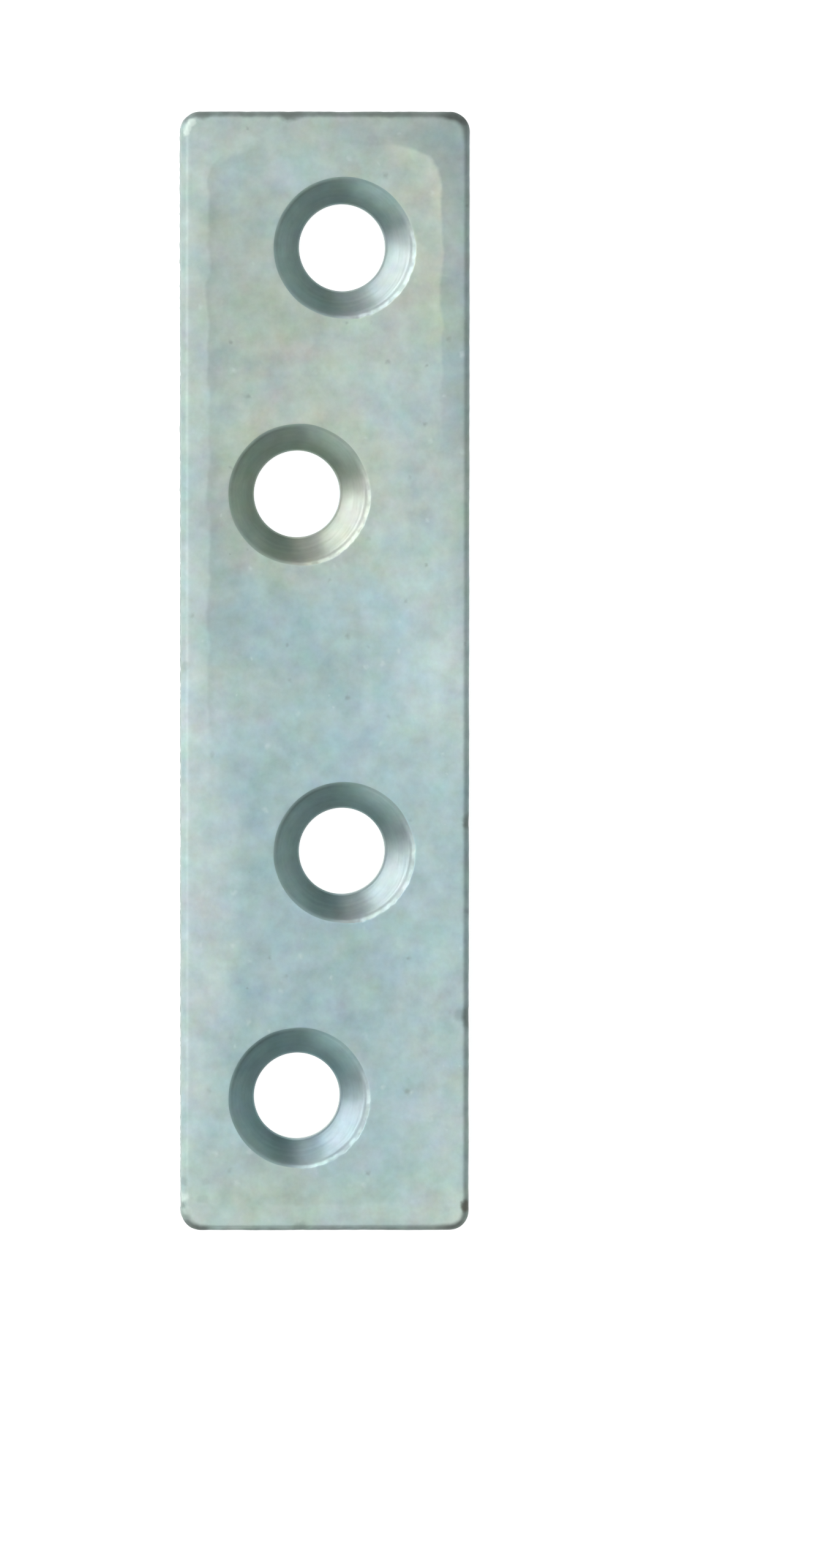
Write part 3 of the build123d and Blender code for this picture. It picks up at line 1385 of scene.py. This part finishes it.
    def _wobble_side(self, places: np.ndarray, inset: np.ndarray, outward: np.ndarray) -> None:
        """Cuts the lower end a little short and askew, and makes the edge and the sheared wall uneven.

        Args:
            places: The places on the plate, changed here.
            inset: How far each lies inside the outline.
            outward: The direction out across the outline.
        """
        short = self.short_end - self.out_of_square * places[:, 0] / (self.edge.width / 2)
        places[:, 1] += short * unit((-places[:, 1] - self.edge.length / 2 + self.end_run) / self.end_run)
        near = unit(1.0 - inset / self.wobble_width)
        flat = places * [1.0, 1.0, self.score_stretch]
        slow = noise_over(flat, self.slow_wobble)
        quick = noise_over(flat, self.quick_wobble)
        rough = noise_over(places, self.broken_grain)
        level = places[:, 2] / self.edge.thickness
        broke = unit((self.break_level + self.break_waver * slow - level) / self.break_blend)
        broke = broke * unit(level / self.break_blend)
        push = np.maximum(self.edge_wobble * (1.0 + slow + self.quick_share * quick), 0.0)
        push = push + broke * self.break_away * (1.0 + rough + quick / 2)
        places[:, :2] -= outward * (near * push)[:, None]

    def _wear_rims(self, places: np.ndarray, from_hole: np.ndarray, nearest: np.ndarray) -> None:
        """Makes each countersink's rim uneven, and widens it raggedly on the side that the bit tore.

        Args:
            places: The places on the plate, changed here.
            from_hole: The offset from the nearest hole's axis, in millimetres.
            nearest: The index of the nearest hole.
        """
        rim, lip = self.holes.sink_radius, self.holes.lip
        offset = from_hole[:, :2] * MM
        radius = np.linalg.norm(offset, axis=1)
        toward = offset / np.maximum(radius, TINY)[:, None]
        round_rim = [Vector((x, y, self.hole_stride * hole)) for (x, y), hole in zip(toward, nearest)]
        slow = noise_over(place * self.rim_waves for place in round_rim)
        quick = noise_over(place * self.rim_teeth for place in round_rim)
        outer = unit((lip + rim + self.rim_slack - radius) / lip)
        cone = np.minimum(unit((radius - rim) / self.cone_run + 1.0), outer)
        edge = np.minimum(unit((radius - rim + self.tear_inside) / self.tear_run), outer)
        lit_side_share = unit((toward @ LIT_TORN_SIDE - self.torn_start) / self.torn_run)
        tear = self.rim_tear * lit_side_share * (1.0 + self.tear_raggedness * quick)
        shift = self.rim_wobble * slow * cone + tear * edge
        upper = places[:, 2] > self.edge.thickness / 2
        places[:, :2] += toward * (shift * upper)[:, None]

    def _knock(self, places: np.ndarray, inset: np.ndarray, outward: np.ndarray) -> None:
        """Dents the edge at each mark; a mark of no depth leaves it as it is.

        Args:
            places: The places on the plate, changed here.
            inset: How far each lies inside the outline.
            outward: The direction out across the outline.
        """
        ragged = noise_over(places, self.knock_grain)
        near = unit(1.0 - inset / self.knock_width)
        upper = unit((places[:, 2] / self.edge.thickness - self.knock_start) / self.knock_run)
        for mark in EDGE_MARKS:
            offset = (places[:, :2] / MM - [mark.x, mark.y]) / [mark.half_width, mark.half_length]
            share = unit(1.0 - np.linalg.norm(offset, axis=1) + self.knock_raggedness * ragged) * upper
            depth = np.minimum(share * self.knock_fullness, 1.0) * mark.depth * MM
            places[:, :2] -= outward * (depth * near)[:, None]
            places[:, 2] -= depth * self.knock_drop


@dataclass
class MendingPlate:
    """The whole plate: the edge, the holes and the two faces in one closed skin, slightly worn."""

    effects: Effects
    front_spacing: float = 0.38 * MM
    back_spacing: float = 0.95 * MM

    def __post_init__(self) -> None:
        """Takes the plate's sizes and its hole centres from the frame."""
        low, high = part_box(NODE)
        width, length, self.thickness = high - low
        bores = [mount for mount in frame["record"]["mounts"] if mount["kind"] == "bore"]
        centres = [Vector(mount["pos_m"]) for mount in bores]
        self.edge = BlankedEdge(width, length, self.thickness)
        self.holes = CountersunkHoles(centres, bores[0]["dims"]["r_mm"] * MM, self.thickness)

    def build(self) -> None:
        """Builds and dresses the plate, in place of the plain CAD solid."""
        finishes = [finish.material(self.effects) for finish in (PlatedFace(), ShearedSide(), PlatedSink())]
        bm = bmesh.new()
        for part in (self.edge.mesh(*finishes[:2]), self.holes.mesh(*finishes)):
            first = len(bm.faces)
            bm.from_mesh(part)
            bm.faces.ensure_lookup_table()
            for polygon in bm.faces[first:]:
                polygon.material_index = finishes.index(part.materials[polygon.material_index])
        bm.verts.index_update()
        FaceSheet(self.thickness, self.front_spacing, seed=11).fill(bm, self.holes)
        FaceSheet(0.0, self.back_spacing, seed=12).fill(bm, self.holes)
        bmesh.ops.recalc_face_normals(bm, faces=bm.faces)
        open_edges = sum(1 for edge in bm.edges if not edge.is_manifold)
        mesh = bpy.data.meshes.new("mending_plate_plated")
        for finish in finishes:
            mesh.materials.append(finish)
        bm.to_mesh(mesh)
        bm.free()
        Wear(self.edge, self.holes).on(mesh)
        mesh.shade_smooth()
        piece = bpy.data.objects.new("mending_plate_plated", mesh)
        bpy.context.scene.collection.objects.link(piece)
        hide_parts(NODE)
        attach(piece, BODY)
        LOG.info("%s: %d faces, %d open edges", piece.name, len(mesh.polygons), open_edges)


# Studio

@dataclass(frozen=True)
class SoftLight:
    """One soft rectangular light that faces the plate. Angles are in degrees, and level 1 looks white."""

    name: str
    bearing: float
    elevation: float
    distance: float
    width: float
    height: float
    level: float

    def build(self) -> None:
        """Adds the light."""
        light = bpy.data.lights.new(self.name, "AREA")
        light.shape = "RECTANGLE"
        light.size, light.size_y = self.width, self.height
        light.energy = self.level * math.pi * self.width * self.height
        bearing, elevation = math.radians(self.bearing), math.radians(self.elevation)
        flat = math.cos(elevation)
        out = Vector((math.cos(bearing) * flat, math.sin(bearing) * flat, math.sin(elevation)))
        lamp = bpy.data.objects.new(self.name, light)
        lamp.location = out * self.distance
        lamp.rotation_mode = "QUATERNION"
        lamp.rotation_quaternion = out.to_track_quat("Z", "Y")
        bpy.context.scene.collection.objects.link(lamp)


@dataclass
class Studio:
    """A pale floor, a soft panel overhead, six smaller soft lights round the plate, and the camera."""

    lights: tuple[SoftLight, ...] = (
        SoftLight("panel", 90.0, 90.0, 1.1, 2.2, 2.2, 0.765),
        SoftLight("high_box", 145.0, 52.0, 1.0, 0.85, 0.32, 2.5),
        SoftLight("low_strip", 148.0, 16.0, 1.0, 1.25, 0.24, 6.8),
        SoftLight("side_box", 190.0, 20.0, 1.0, 0.30, 0.64, 1.4),
        SoftLight("fill_box", 238.0, 20.0, 1.0, 1.00, 0.64, 1.20),
        SoftLight("right_box", 20.0, 20.0, 1.0, 1.30, 0.64, 0.50),
        SoftLight("far_box", 98.0, 16.0, 1.0, 0.45, 0.30, 1.10),
    )
    floor_reach: float = 4.0
    floor_gap: float = 0.02 * MM
    floor_colour: tuple = (0.80, 0.80, 0.80, 1.0)
    floor_fill: float = 0.60
    world_level: float = 0.19
    camera_place: tuple = (-36.37, 19.69, 500.0)
    camera_aim: tuple = (5.224, -6.123, 2.0)
    camera_roll: float = 0.0009
    camera_range: tuple = (0.02, 50.0)
    lens: float = 207.63

    def build(self) -> None:
        """Builds the floor, the lights, the world and the camera."""
        self._floor()
        for light in self.lights:
            light.build()
        world = bpy.data.worlds.new("studio")
        world.use_nodes = True
        background = world.node_tree.nodes["Background"]
        background.inputs["Color"].default_value = WHITE
        background.inputs["Strength"].default_value = self.world_level
        bpy.context.scene.world = world
        bpy.context.scene.view_settings.view_transform = "Standard"
        self._camera()
        LOG.info("studio: floor, %d soft lights, world and camera", len(self.lights))

    def _floor(self) -> bpy.types.Object:
        """Makes the round flat floor, a hair below the plate's back.

        Returns:
            The floor.
        """
        bm = bmesh.new()
        bmesh.ops.create_circle(bm, cap_ends=True, radius=self.floor_reach, segments=96)
        bmesh.ops.translate(bm, verts=bm.verts, vec=(0.0, 0.0, -self.floor_gap))
        mesh = bpy.data.meshes.new("floor")
        bm.to_mesh(mesh)
        bm.free()
        mesh.materials.append(self._floor_material())
        floor = bpy.data.objects.new("floor", mesh)
        bpy.context.scene.collection.objects.link(floor)
        return floor

    def _floor_material(self) -> Material:
        """A pale matt floor, lifted to white where it is seen directly, in a mirror or through glass.

        Returns:
            The floor's material.
        """
        material, tree, shader = new_material("pale_floor")
        b = NodeBuilder(tree)
        path = b.add("ShaderNodeLightPath").outputs
        seen = b.maths("MAXIMUM", path["Is Camera Ray"], path["Is Glossy Ray"])
        seen = b.maths("MAXIMUM", seen, path["Is Transmission Ray"])
        inputs = {"Base Color": self.floor_colour, "Roughness": 1.0, "Specular IOR Level": 0.0}
        inputs |= {"Emission Color": WHITE, "Emission Strength": b.times(seen, self.floor_fill)}
        for name, value in inputs.items():
            b.feed(shader.inputs[name], value)
        return material

    def _camera(self) -> None:
        """Sets the camera over the plate, a little towards its far left corner."""
        data = bpy.data.cameras.new("camera")
        data.sensor_fit = "AUTO"
        data.sensor_width = 36.0
        data.lens = self.lens
        data.clip_start, data.clip_end = self.camera_range
        camera = bpy.data.objects.new("camera", data)
        place = Vector(self.camera_place) * MM
        back = (place - Vector(self.camera_aim) * MM).normalized()
        right = Vector((0.0, 1.0, 0.0)).cross(back).normalized()
        turned = Matrix((right, back.cross(right), back)).transposed()
        turned = turned @ Matrix.Rotation(self.camera_roll, 3, "Z")
        camera.matrix_world = Matrix.Translation(place) @ turned.to_4x4()
        bpy.context.scene.collection.objects.link(camera)
        bpy.context.scene.camera = camera


def main() -> None:
    """Builds the plate and the studio."""
    logging.basicConfig(level=logging.INFO, format="%(name)s: %(message)s")
    MendingPlate(Effects()).build()
    Studio().build()


if __name__ == "__main__":
    main()
